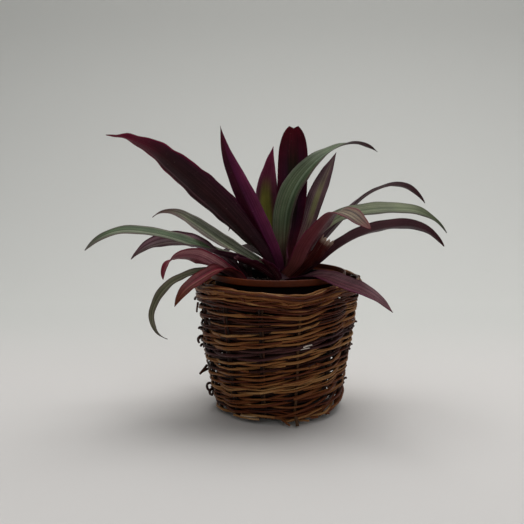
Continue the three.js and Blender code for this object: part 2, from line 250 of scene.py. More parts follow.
# The tree that turns centre lines into rods. Each line's points carry rodSize and rodTint.
def makeRodTree():
    tree = Growth("willowRods", "Lines", rods["inputs"], "Bark")
    asked, node, result = tree.asked, tree.node, tree.result
    maths, times, plus = tree.maths, tree.times, tree.plus

    def read(name, kind="FLOAT"):
        return node("GeometryNodeInputNamedAttribute", {"Name": name}, data_type=kind).outputs["Attribute"]

    def store(geometry, name, value, kind="FLOAT"):
        inputs = {"Geometry": geometry, "Name": name, "Value": value}
        return result("GeometryNodeStoreNamedAttribute", inputs, data_type=kind, domain="POINT")

    def noiseAt(vector, scale):
        return node("ShaderNodeTexNoise", {"Vector": vector, "Scale": scale, "Detail": 1.0}).outputs

    lines = result("GeometryNodeMeshToCurve", {"Mesh": asked["Lines"]})
    place = node("GeometryNodeSplineParameter").outputs
    apart = times(read("rodTint"), rods["tintApart"])
    spot = result("ShaderNodeCombineXYZ", {"X": place["Length"], "Y": apart, "Z": asked["Seed"]})
    taper = maths("SUBTRACT", 1.0, times(asked["Taper"], place["Factor"]))
    uneven = tree.centred(noiseAt(spot, rods["swellScale"])[0], times(asked["Unevenness"], 2.0))
    knots = maths("ABSOLUTE", maths("COSINE", times(place["Length"], rods["knotSpacing"])))
    knots = times(maths("POWER", knots, rods["knotSharpness"]), asked["Knot Size"])
    girth = times(times(read("rodSize"), taper), plus(plus(1.0, uneven), knots))
    sway = {0: noiseAt(spot, rods["swayScale"])["Color"], 1: (0.5, 0.5, 0.5)}
    sway = result("ShaderNodeVectorMath", sway, operation="SUBTRACT")
    drift = {0: sway, "Scale": times(asked["Drift"], 4.0)}
    moved = {"Geometry": lines, "Offset": result("ShaderNodeVectorMath", drift, operation="SCALE")}
    measured = store(result("GeometryNodeSetPosition", moved), "alongRod", place["Length"])
    measured = store(measured, "rodGirth", girth)
    circle = result("GeometryNodeCurvePrimitiveCircle", {"Resolution": asked["Sides"], "Radius": 1.0})
    section = store(circle, "ringPlace", result("GeometryNodeInputPosition"), "FLOAT_VECTOR")
    sweep = {"Curve": measured, "Profile Curve": section, "Fill Caps": True, "Scale": read("rodGirth")}
    ring = node("ShaderNodeSeparateXYZ", {0: read("ringPlace", "FLOAT_VECTOR")}).outputs
    grain = plus(times(read("alongRod"), 1000.0), times(read("rodTint"), rods["grainApart"]))
    grain = result("ShaderNodeCombineXYZ", {"X": ring["X"], "Y": ring["Y"], "Z": grain})
    mapped = store(result("GeometryNodeCurveToMesh", sweep), "rodSpace", grain, "FLOAT_VECTOR")
    tree.end("Rods", result("GeometryNodeSetShadeSmooth", {0: mapped}))
    return tree


# Lines are lists of (points in millimetres, radius in millimetres, tint from 0 dark to 1 pale).
def makeRods(name, lines, material, slotName, nodes, **sizes):
    points, edges, size, tint = [], [], [], []
    for path, radius, tone in lines:
        start = len(points)
        points += [tuple(np.asarray(p) * mm) for p in path]
        edges += [(i, i + 1) for i in range(start, len(points) - 1)]
        size += [radius * mm] * len(path)
        tint += [tone] * len(path)
    skeleton = newMesh(name, points, [], edges=edges)
    for label, values in (("rodSize", size), ("rodTint", tint)):
        skeleton.attributes.new(label, "FLOAT", "POINT").data.foreach_set("value", values)
    mesh = rodTree.grow(skeleton, material, **sizes)
    mesh.name = name
    for label in ("ringPlace", "rodSize", "rodGirth", "alongRod"):
        if label in mesh.attributes:
            mesh.attributes.remove(mesh.attributes[label])
    finishPiece(name, mesh, slotName, nodes, 60)


basket = {
    "wallHeight": 141.5, "footRadius": 65.2, "flare": 22.5, "bulge": 3.0,
    "stakes": 13, "firstStake": math.radians(283.8),
    "turns": 33, "seamStake": 6,  # the rows start and end beside this stake
    "weaveDepth": 3.7, "rodTurns": (0.7, 1.5), "rodRadius": (1.6, 1.3),
    "tints": [0.2, 0.36, 0.45, 0.52, 0.58, 0.64, 0.72], "darkBand": (18.0, 21.0), "darkTint": -0.25,
    "weaveFoot": 3.0, "weaveDrop": 16.0, "crowding": 0.19, "edge": 0.24,  # rows at the foot and the rim
    "rowFoot": 7.5, "rowSpan": 120.5, "tilt": 13.0, "dip": 3.5,  # rows between them
    "innerDepth": 3.2, "innerRadius": 1.7, "tuckSpan": 0.05, "tuckIn": -2.5, "tuckOut": 1.8,
    "heel": {"out": 7, "height": 9, "width": 0.35},  # the lowest rows stand out over the first stake
    "rimHeights": [141.8, 149, 148, 147.5, 149, 147, 147, 146, 142, 141, 146.5, 148.5, 145.4],
    "footRises": [0, 1.5, 7.5, 7, 5, 4, 4, 4, 4, 3, 1.5, 1, 4.5],
    "nodes": 12, "seed": 11,
}


def roundStakes(values, angle):  # a value given at each stake that eases from one to the next
    at = ((np.asarray(angle) - basket["firstStake"]) / math.tau % 1) * basket["stakes"]
    step = np.minimum(at.astype(int), basket["stakes"] - 1)
    ringed = np.array(values + values[:1])
    return ringed[step] + (ringed[step + 1] - ringed[step]) * smooth(at - step)


def stakeAngle(place):  # 0 at the first stake, 1 at the next
    return basket["firstStake"] + place * math.tau / basket["stakes"]


def rimTop(angle):
    return roundStakes(basket["rimHeights"], angle)


def footRise(angle):  # the basket stands on one stake and its lowest rows ride up beside it
    return roundStakes(basket["footRises"], angle)


def wallRadius(z, angle):
    up = np.maximum(z, 0) / basket["wallHeight"]
    swell = basket["bulge"] * np.maximum(-np.cos(angle), 0) ** 2 * np.sin(np.pi * up)
    return basket["footRadius"] + basket["flare"] * up ** 0.85 + swell


def polar(radius, angle, z):
    return np.stack(np.broadcast_arrays(radius * np.cos(angle), radius * np.sin(angle), z), axis=-1)


def onWall(angle, z, *out):  # points that stand out from the middle of the wall
    return polar(sum(out, wallRadius(z, angle)), angle, z)


def swing(angle):  # nearly straight from one stake to the next
    wave = np.cos(basket["stakes"] * (angle - basket["firstStake"]) / 2)
    return 0.45 * wave + 0.55 * (1 - 2 * np.arccos(np.clip(wave, -1, 1)) / np.pi)


def wander(rng, angle, size, waves=5, fastest=4.5):  # a random wave along a rod
    parts = [(rng.uniform(0.6, fastest), rng.uniform(0, 6.3), rng.uniform(0.4, 1.0)) for _ in range(waves)]
    return size * sum(w * np.sin(f * angle + p) for f, p, w in parts) / (0.45 * waves)


def kinks(rng, angle, size):  # small changes of course at the stakes
    at = (angle - basket["firstStake"]) / math.tau * basket["stakes"]
    first = math.floor(at.min()) - 1
    bends = [rng.gauss(0, size) for _ in range(math.ceil(at.max()) - first + 2)]
    return np.interp(at - first, np.arange(len(bends)), bends)


# Rows follow the foot and the rim at the edges and climb to one side between them.
def rowHeight(angle, share):
    rise = share + basket["crowding"] * share * (1 - share)
    foot, top = basket["weaveFoot"] + footRise(angle), rimTop(angle) - basket["weaveDrop"]
    climb = (top - foot) * rise
    level = basket["rowFoot"] + basket["rowSpan"] * rise
    level = level + basket["tilt"] * np.cos(angle) + basket["dip"] * np.sin(angle)
    return foot + climb + (level - foot - climb) * smooth(np.minimum(rise, 1 - rise) / basket["edge"])


def weaverLine(rng, fromTurn, toTurn, radius, lift=0.0, drift=0.8, inner=False):
    heel = basket["heel"]
    turn = np.linspace(fromTurn, toTurn, int((toTurn - fromTurn) * basket["stakes"] * 8))
    angle = stakeAngle(basket["seamStake"]) + math.tau * turn
    z = rowHeight(angle, turn / basket["turns"]) + lift + wander(rng, angle, drift) + kinks(rng, angle, 0.7)
    z = np.maximum(z, radius * 1.3)
    out = basket["weaveDepth"] * rng.uniform(0.85, 1.15) * swing(angle) + wander(rng, angle, 0.5)
    if inner:
        out = -0.55 * out - basket["innerDepth"]
    ends = np.minimum(turn - fromTurn, toTurn - turn) / basket["tuckSpan"]
    tuck = basket["tuckIn"] if inner or rng.random() < 0.6 else basket["tuckOut"]
    tuck = np.where(ends < 1, (1 - ends) ** 2, 0) * tuck
    away = np.abs((angle - basket["firstStake"] + np.pi) % math.tau - np.pi)
    out = out + heel["out"] * np.exp(-z / heel["height"] - (away / heel["width"]) ** 2)
    return onWall(angle, z, out, tuck)


def makeWeavers():
    rng = random.Random(basket["seed"])
    bundles = [[] for _ in range(basket["nodes"])]
    turn, total = 0.0, basket["turns"]
    while turn < total - 0.2:
        last = min(turn + rng.uniform(*basket["rodTurns"]), total)
        share = (turn + last) / 2 / total
        radius = along(basket["rodRadius"], share) * rng.uniform(0.8, 1.15)
        tint = rng.choice(basket["tints"]) + rng.uniform(-0.05, 0.05)
        if basket["darkBand"][0] < share * total < basket["darkBand"][1]:
            tint = basket["darkTint"]
        lines = bundles[min(int(share * basket["nodes"]), basket["nodes"] - 1)]
        lines.append((weaverLine(rng, max(turn - 0.06, 0), last + 0.05, radius), radius, tint))
        if rng.random() < 0.75:  # a thin rod laid in above it
            thin = radius * rng.uniform(0.5, 0.75)
            beside = rng.uniform(-0.25, 0.2)
            line = weaverLine(rng, max(turn + rng.uniform(-0.3, 0.3), 0), last, thin, 1.9, 1.2)
            lines.append((line, thin, min(tint + beside, 0.75)))
        girth = basket["innerRadius"] * rng.uniform(0.9, 1.2)  # the strand that runs inside; its near-black tint is painted shade in the gaps between the rows
        lines.append((weaverLine(rng, turn, last, girth, 1.9, 0.6, True), girth, rng.uniform(0.0, 0.16)))
        turn = last
    for i, lines in enumerate(bundles):
        makeRods(f"weaver{i + 1}", lines, willowFinish, "willow_weaver", [f"weaver_{i + 1}"], Seed=20 + i,
                 Taper=0.28)


uprights = {
    "rods": [(0, 0.95), (0.032, 0.7)],  # angle beside the stake's own, share of the radius
    "radius": 1.8, "foot": 2.4, "top": 5.0, "shorter": 60,
    "standingFoot": 1.9, "kick": 14, "kickBelow": 18,  # the first one stands on the floor
}


def makeStakes():
    rng = random.Random(basket["seed"] + 1)
    for i in range(basket["stakes"]):
        standing = i == 0  # a single pale rod that kicks out at the foot
        angle = stakeAngle(i)
        low = uprights["standingFoot"] if standing else uprights["foot"] + float(footRise(angle))
        lines = []
        for beside, size in uprights["rods"][:1 if standing else 2]:
            z = np.linspace(low, rimTop(angle) - uprights["top"] - uprights["shorter"] * beside, 30)
            turned = angle + beside + wander(rng, z / 30, 0.006)
            out = wander(rng, z / 25, 0.3)
            if standing:
                out = out + uprights["kick"] * smooth((uprights["kickBelow"] - z) / 17) ** 1.5
            tint = 0.9 if standing else rng.uniform(0.3, 0.7)
            lines.append((onWall(turned, z, out), uprights["radius"] * size, tint))
        makeRods(f"stake{i + 1}", lines, stakeFinish, "willow_stake", [f"stake_{i + 1}"], Seed=50 + i,
                 Taper=0.15)


rim = {
    "pair": {"drop": 12.4, "high": 2.0, "wide": 4.0, "apart": 2.6},
    "strands": {"count": 7, "drop": 5.2, "high": 4.7, "out": 0.6, "wide": 2.7, "radius": 1.5},
    "wraps": {"count": 9, "drop": 6, "apart": 1.6, "out": 4.2},
    "laidEnds": {"length": 1.7, "drop": 12, "out": -2.5, "reach": 7.0},
}


def makeRim():
    rng = random.Random(basket["seed"] + 2)
    angle = np.linspace(0, math.tau, 300)
    pair, strands, wraps, laidEnds = rim["pair"], rim["strands"], rim["wraps"], rim["laidEnds"]
    for label, side in ((1, 1), (2, -1)):
        lines = []
        for step in (0, 1):
            turned = stakeAngle(0.5) + angle * 0.998
            twist = basket["stakes"] * (turned - basket["firstStake"]) / 2 + 0.5 * step
            z = rimTop(turned) - pair["drop"] + side * pair["high"] * np.sin(twist) + pair["apart"] * step
            z = z + wander(rng, turned, 0.5)
            line = onWall(turned, z, side * pair["wide"] * np.cos(twist))
            lines.append((line, rng.uniform(1.3, 1.6), rng.uniform(0.3, 0.7)))
        makeRods(f"rimPair{label}", lines, willowFinish, "willow_rim", [f"rim_pair_{label}"], Seed=70 + label)
    lines = []
    for k in range(strands["count"]):
        for half in (0, 1):
            turned = angle * 0.6 + half * math.pi + k * 0.8
            roll = turned * rng.uniform(0.7, 1.3) + k * math.tau / strands["count"]
            roll = roll + wander(rng, turned, 0.35)
            z = rimTop(turned) - strands["drop"] + strands["high"] * np.sin(roll) + kinks(rng, turned, 0.4)
            line = onWall(turned, z, strands["out"], strands["wide"] * np.cos(roll))
            lines.append((line, strands["radius"] * rng.uniform(0.7, 1.1), rng.uniform(0.3, 0.85)))
    for k in range(wraps["count"]):  # long rods that wrap the outside below it
        turned = angle * rng.uniform(0.3, 0.55) + (rng.uniform(0, 6.3) if k % 2 else rng.uniform(2.6, 3.2))
        z = rimTop(turned) - wraps["drop"] - wraps["apart"] * k + wander(rng, turned, 1.6)
        z = z + kinks(rng, turned, 0.5)
        line = onWall(turned, z, wraps["out"], wander(rng, turned, 0.6))
        lines.append((line, rng.uniform(1.0, 1.5), rng.uniform(0.2, 0.75)))
    for i in range(basket["stakes"]):  # stake ends laid along the border
        share = np.linspace(0, 1, 26)
        turned = stakeAngle(i + share * laidEnds["length"])
        arch = rng.uniform(7.5, 9.5) * np.sin(math.pi * share ** 0.8) ** 0.7
        z = rimTop(turned) - laidEnds["drop"] + arch
        line = onWall(turned, z, laidEnds["out"], laidEnds["reach"] * share)
        lines.append((line, rng.uniform(1.1, 1.4), rng.uniform(0.25, 0.6)))
    makeRods("border", lines, willowFinish, "willow_rim", ["rim_hoop_1", "rim_hoop_2"], Seed=80)


base = {"spokes": 8, "reach": 54, "height": 3.4, "spokeRadius": 1.4, "weaveRadius": 1.7, "turns": (0.4, 12.4),
        "spacing": 4.0, "middle": 5}


def makeBase():
    rng = random.Random(basket["seed"] + 3)
    lines = []
    for i in range(base["spokes"]):
        reach = np.linspace(-base["reach"], base["reach"], 12)
        spoke = polar(reach, i * math.pi / base["spokes"], np.full(12, base["height"]))
        lines.append((spoke, base["spokeRadius"], rng.uniform(0.3, 0.7)))
    turn = np.linspace(*base["turns"], 12 * 48)
    for side in (0, 1):
        angle = math.tau * turn + side * math.pi
        weave = np.cos(base["spokes"] * angle + side * math.pi) * 1.1
        row = polar(base["middle"] + turn * base["spacing"], angle, base["height"] + weave)
        lines.append((row, base["weaveRadius"], rng.uniform(0.35, 0.7)))
    makeRods("wovenBase", lines, stakeFinish, "willow_base", ["basket_base"], Seed=90, Drift=0.0002,
             Taper=0.0, Sides=6)


looseEnds = {  # hooked and cut rod ends that stand out of the weave
    "hooks": [  # angle, height, size of the curl, its turns, rod radius
        (3.2, 77, 3.0, 0.62, 1.4), (3.27, 80, 2.4, 0.5, 1.5), (3.18, 69, 2.0, 0.45, 1.4),
        (3.2, 89, 1.8, 0.4, 1.4), (3.2, 123, 2.0, 0.5, 1.3), (3.2, 23, 3.4, 0.75, 1.4),
        (3.27, 18, 2.8, 0.6, 1.5), (3.15, 11, 2.0, 0.45, 1.4), (6.20, 68, 2.0, 0.4, 1.2),
        (0.05, 40, 2.2, 0.4, 1.2), (6.1, 96, 2.0, 0.4, 1.2), (6.15, 30, 2.0, 0.4, 1.3)],
    "cuts": [  # angle, height, angle it runs on, rise, reach outwards, rod radius, tint
        (0.05, 141.5, 0.7, 1.5, -2.6, 1.5, 0.4), (0.1, 144.5, 0.6, 0.5, -3.6, 1.5, 0.3),
        (3.17, 117, 0.11, -8, 1.5, 1.1, 0.3), (3.24, 47, 0.11, -7, 10.0, 1.4, 0.15),
        (3.2, 42, 0.11, -2, 9.0, 1.2, 0.1), (4.12, 7.2, 0.26, 1.2, 0.6, 1.2, 0.86),
        (3.96, 4.6, 0.45, 1.2, 0.3, 1.2, 0.8), (5.0, 86.0, 0.11, 1.8, 0.4, 0.8, 1.3),
        (4.97, 83.6, 0.11, 1.0, 0.2, 0.6, 1.3), (4.2, 58, 0.11, 1.5, 1.5, 1.2, 0.5),
        (5.2, 66, 0.11, -1.5, 1.5, 1.2, 0.4), (4.75, 6, 0.11, -3.5, 8.0, 1.1, 0.6),
        (5.02, 4, 0.11, 1.5, 6.0, 1.2, 0.7), (5.2, 5, 0.11, 1.0, 3.0, 1.3, 0.5),
        (5.45, 8, 0.11, -3.0, 2.0, 1.2, 0.5)],
    "hookOut": 2.2, "cutOut": 3.6, "footRods": 26, "firstFootRod": 4.6, "footRodsApart": 0.1,
}


def makeLooseEnds():
    rng = random.Random(basket["seed"] + 4)
    ends = []
    for angle, height, size, turns, thick in looseEnds["hooks"]:
        phi = np.linspace(-1.2, turns * math.tau, 22)
        z = height + size * np.sin(phi)
        radius = wallRadius(z, angle) + looseEnds["hookOut"] + size * (1 - np.cos(phi))
        ends.append((polar(radius, angle + 0.03 * phi, z), thick, 0.1))
    for angle, height, run, rise, out, thick, tint in looseEnds["cuts"]:
        t = np.linspace(0, 1, 10)
        z = height + rise * t
        radius = wallRadius(z, angle) + looseEnds["cutOut"] + out * t
        ends.append((polar(radius, angle + run * t, z), thick, tint))
    for k in range(looseEnds["footRods"]):  # short rods that start at the foot and climb
        run = rng.uniform(0.45, 0.9)
        turned = looseEnds["firstFootRod"] + looseEnds["footRodsApart"] * k + np.linspace(0, run, 24)
        z = 2.2 + footRise(turned[0]) + rng.uniform(0, 4.5) + (turned - turned[0]) * rng.uniform(8, 26)
        z = z + kinks(rng, turned, 0.5)
        line = onWall(turned, z, rng.uniform(-1, 4), 1.6 * swing(turned) * (-1) ** k)
        ends.append((line, rng.uniform(1.2, 1.6), rng.uniform(0.25, 0.7)))
    makeRods("looseEnds", ends, willowFinish, "willow_weaver", [], Seed=95, Taper=0.1)


pot = {"top": 153.6, "foot": 8.0, "topRadius": 70.5, "footRadius": 52.0, "bandRadius": 75.0, "band": 7.0,
       "wall": 2.2, "lipRound": 1.1, "innerRound": 0.5, "sides": 128}


def circle(radius, sides):
    angles = [math.tau * i / sides for i in range(sides)]
    return [(radius * math.cos(a), radius * math.sin(a)) for a in angles]


def lathe(profile, sides, material, centre=(0, 0)):
    points, faces = [], []
    for r, z in profile:
        points += [((centre[0] + x) * mm, (centre[1] + y) * mm, z * mm) for x, y in circle(r, sides)]
    for j in range(len(profile) - 1):
        for i in range(sides):
            a, b = j * sides + i, j * sides + (i + 1) % sides
            faces.append((a, b, b + sides, a + sides))
    return newMesh("turned", points, faces, [material])


def potRadiusAt(z):
    return np.interp(z, (pot["foot"], pot["top"] - pot["band"]), (pot["footRadius"], pot["topRadius"]))


def makePot():
    p = pot
    under, inner, floor = p["top"] - p["band"], p["bandRadius"] - p["wall"], p["foot"] + p["wall"]
    r = p["lipRound"]
    lip = [(p["bandRadius"] - r + r * math.cos(a), p["top"] - r + r * math.sin(a))
           for a in np.linspace(0, math.pi / 2, 6)]
    r = p["innerRound"]
    lip += [(inner + r - r * math.sin(a), p["top"] - r + r * math.cos(a))
            for a in np.linspace(0, math.pi / 2, 4)]
    profile = [(0.001, p["foot"]), (p["footRadius"] - 1.5, p["foot"]), (p["footRadius"], p["foot"] + 1.5),
               (p["topRadius"] - 0.4, under - 3), (p["topRadius"], under - 2), (p["bandRadius"] - 0.8, under),
               (p["bandRadius"], under + 0.8), *lip, (inner, under + 2),
               (p["topRadius"] - p["wall"], under - 1), (potRadiusAt(floor) - p["wall"], floor),
               (0.001, floor)]
    finishPiece("pot", lathe(profile, p["sides"], potFinish), "pot_plastic", ["pot"], 35)


plastic = {
    "cloud": dict(scale=35.0, detail=4.0), "scuff": dict(stretch=(1, 1, 9), scale=120.0),
    # the near-black last colour here is painted shade for the pot wall under the lip
    "tones": {0.3: "#4a1c08", 0.7: "#6e300f"}, "dust": "#5c3a28", "paintedShadeUnderLip": "#0e0604",
    "paintedShadeLine": (0.1462, 0.1472),  # painted shade below these heights, on the pot wall under the lip; the plain tone above them
}


def makePotFinish():
    finish = Finish("brownPotPlastic", Specular_IOR_Level=0.15)
    cloud, scuff = finish.noises(finish.objectSpace(), plastic, "cloud", "scuff")
    tone = finish.ramp(cloud, plastic["tones"])
    tone = finish.mix(finish.step(scuff, 0.5, 0.8, 0.3), tone, plastic["dust"])
    # painted shade: the wall below the lip turns near-black
    tone = finish.mix(finish.step(finish.objectAxis("Z"), *plastic["paintedShadeLine"]), plastic["paintedShadeUnderLip"], tone)
    return finish.coat(tone, (scuff, 0.38, 0.6), (scuff, 0.12, 0.0004))


soil = {"level": 134.6, "lump": 1.6, "gap": 0.35, "edgeDrop": 0.6, "rings": 34, "sides": 120,
        "crumbs": {"Smallest": 0.0007, "Largest": 0.0024, "Closeness": 42000.0, "Seed": 4},
        "crumbBed": {"middle": 4, "reach": 62, "rings": 10, "sides": 40, "sink": 0.2}}


def soilHeight(x, y):
    lumps = soil["lump"] * noise.noise((x * 0.09, y * 0.09, 2.0))
    return soil["level"] + lumps + 0.7 * noise.noise((x * 0.4, y * 0.4, 5.0)) - 0.9


def ringFaces(rings, sides):  # faces between rings of points, from the inside out
    faces = []
    for j in range(rings - 1):
        for i in range(sides):
            a, b = j * sides + i, j * sides + (i + 1) % sides
            faces.append((a, a + sides, b + sides, b))
    return faces


def makeSoil():
    rings, sides, seat = soil["rings"], soil["sides"], pot["wall"] + soil["gap"]
    low, edge = pot["foot"] + seat, soil["level"] - soil["edgeDrop"]
    wall = potRadiusAt(soil["level"]) - seat
    points = [(x, y, soilHeight(x, y)) for j in range(1, rings) for x, y in circle(wall * j / rings, sides)]
    points += [(x, y, edge) for x, y in circle(wall, sides)]
    points += [(x, y, low) for x, y in circle(potRadiusAt(low) - seat, sides)]
    points += [(0, 0, soilHeight(0, 0)), (0, 0, low)]
    faces = ringFaces(rings + 1, sides)
    outer, middle = rings * sides, (rings + 1) * sides
    for i in range(sides):
        k = (i + 1) % sides
        faces += [(middle, i, k), (middle + 1, outer + k, outer + i)]
    points = [tuple(c * mm for c in p) for p in points]
    finishPiece("soil", newMesh("soil", points, faces, [soilFinish]), "compost", ["soil"], 180)


# The tree that strews crumbs of bark and peat over the soil.
def makeCrumbTree():
    tree = Growth("crumbs", "Ground", soil["crumbs"], "Crumb")
    asked, node = tree.asked, tree.node
    strewn = node("GeometryNodeDistributePointsOnFaces",
                  {"Mesh": asked["Ground"], "Density": asked["Closeness"], "Seed": asked["Seed"]})
    ball = node("GeometryNodeMeshIcoSphere", {"Radius": 1.0, "Subdivisions": 2})
    lumps = node("ShaderNodeTexNoise", {"Scale": 1.4}).outputs["Color"]
    away = tree.result("ShaderNodeVectorMath", {0: lumps, "Scale": 0.8}, operation="SCALE")
    rough = tree.result("GeometryNodeSetPosition", {"Geometry": ball.outputs["Mesh"], "Offset": away})
    size = node("FunctionNodeRandomValue", {2: asked["Smallest"], 3: asked["Largest"], "Seed": asked["Seed"]})
    spin = node("FunctionNodeRandomValue", {1: (6.28, 6.28, 6.28), "Seed": asked["Seed"]},
                data_type="FLOAT_VECTOR")
    crumbs = {"Points": strewn.outputs["Points"], "Instance": rough, "Rotation": spin.outputs[0],
              "Scale": size.outputs[1]}
    tree.end("Crumbs", tree.result("GeometryNodeInstanceOnPoints", crumbs))
    return tree


def makeCrumbs():
    bed = soil["crumbBed"]
    rings, sides = bed["rings"], bed["sides"]
    points = [(x * mm, y * mm, (soilHeight(x, y) - bed["sink"]) * mm)
              for j in range(rings + 1) for x, y in circle(bed["middle"] + bed["reach"] * j / rings, sides)]
    ground = newMesh("crumbGround", points, ringFaces(rings + 1, sides))
    finishPiece("crumbs", makeCrumbTree().grow(ground, crumbFinish), "compost", [])


def makeSoilFinish(name, dark, pale):
    finish = Finish(name)
    space = finish.objectSpace()
    grains = finish.noise(space, 900.0, 5.0, 0.7)
    patches = finish.noise(space, 90.0)
    shade = finish.plus(finish.times(grains, 0.6), finish.times(patches, 0.4))
    tone = finish.ramp(shade, {0.35: dark, 0.65: pale})
    return finish.coat(tone, (grains, 0.8, 1.0), (grains, 0.8, 0.0008))


crowns = {"main": (6.0, 0.0, 151.0), "side": (-32.0, -8.0, 146.0)}
stem = {"radius": 9.0, "foot": 124.0, "rings": 10,
        "tones": {0.3: "#3a1c26", 0.55: "#54303a", 0.75: "#5d6238"}}


def makeStems():
    radius, foot = stem["radius"], stem["foot"]
    for name, (x, y, top) in crowns.items():
        profile = [(0.001, foot), (radius, foot)]
        for i in range(stem["rings"]):  # rings left by old leaves
            z = foot + (top - 6 - foot) * (i + 1) / stem["rings"]
            profile += [(radius - 0.1, z - 1.4), (radius - 0.7, z - 0.4), (radius - 0.1, z)]
        profile += [(radius * 0.6, top), (0.001, top)]
        finishPiece(name + "Stem", lathe(profile, 40, stemFinish, (x, y)), "stem", [f"stem_{name}"], 60)


def makeStemFinish():
    finish = Finish("stemSkin")
    cloud = finish.noise(finish.objectSpace(), 120.0, 4.0)
    return finish.coat(finish.ramp(cloud, stem["tones"]), (cloud, 0.45, 0.65), (cloud, 0.2, 0.0005))


print("helpers ready")
rodTree = makeRodTree()
willowFinish = makeWillowFinish("willowBark", **willow["weaver"])
# darker bark for stakes and base, partly painted shade in the gaps between the rows
stakeFinish = makeWillowFinish("oldWillowBark", **willow["stake"])
potFinish = makePotFinish()
soilFinish = makeSoilFinish("dampCompost", "#120b08", "#33241b")
crumbFinish = makeSoilFinish("barkCrumbs", "#1b110c", "#4a3527")
stemFinish = makeStemFinish()
makeWeavers()
makeStakes()
makeRim()
makeBase()
makeLooseEnds()
print("basket woven")
makePot()
makeSoil()
makeCrumbs()
makeStems()
print("pot filled")


tiers = [(3, 3), (5, 6), (6.5, 9), (8, 12)]  # how far out from the crown and down its roots start
blade = {"steps": 72, "across": 18, "ribThickness": 1.6, "marginThickness": 0.5, "gutter": 0.2}

# heading is the way a leaf points from its crown; slope, roll and fold run from root to tip in
# even steps, in degrees; peak is where it is widest; neck is its root's share of the full width;
# upper and under are the finishes of its faces. plainLeaf holds what a leaf doesn't say itself.
plainLeaf = dict(crown="main", upper="leafGreenUpper", under="plainUnder", slot="leaf_green",
                 fold=[50, 18, 10], peak=0.42, neck=0.6, blunt=2, tip=0.5, wave=(0.35, 5))


def shape(tier, heading, length, width, slope, roll, **own):
    own.update(tier=tier, heading=heading, length=length, width=width, slope=slope, roll=roll)
    return {**plainLeaf, **own}


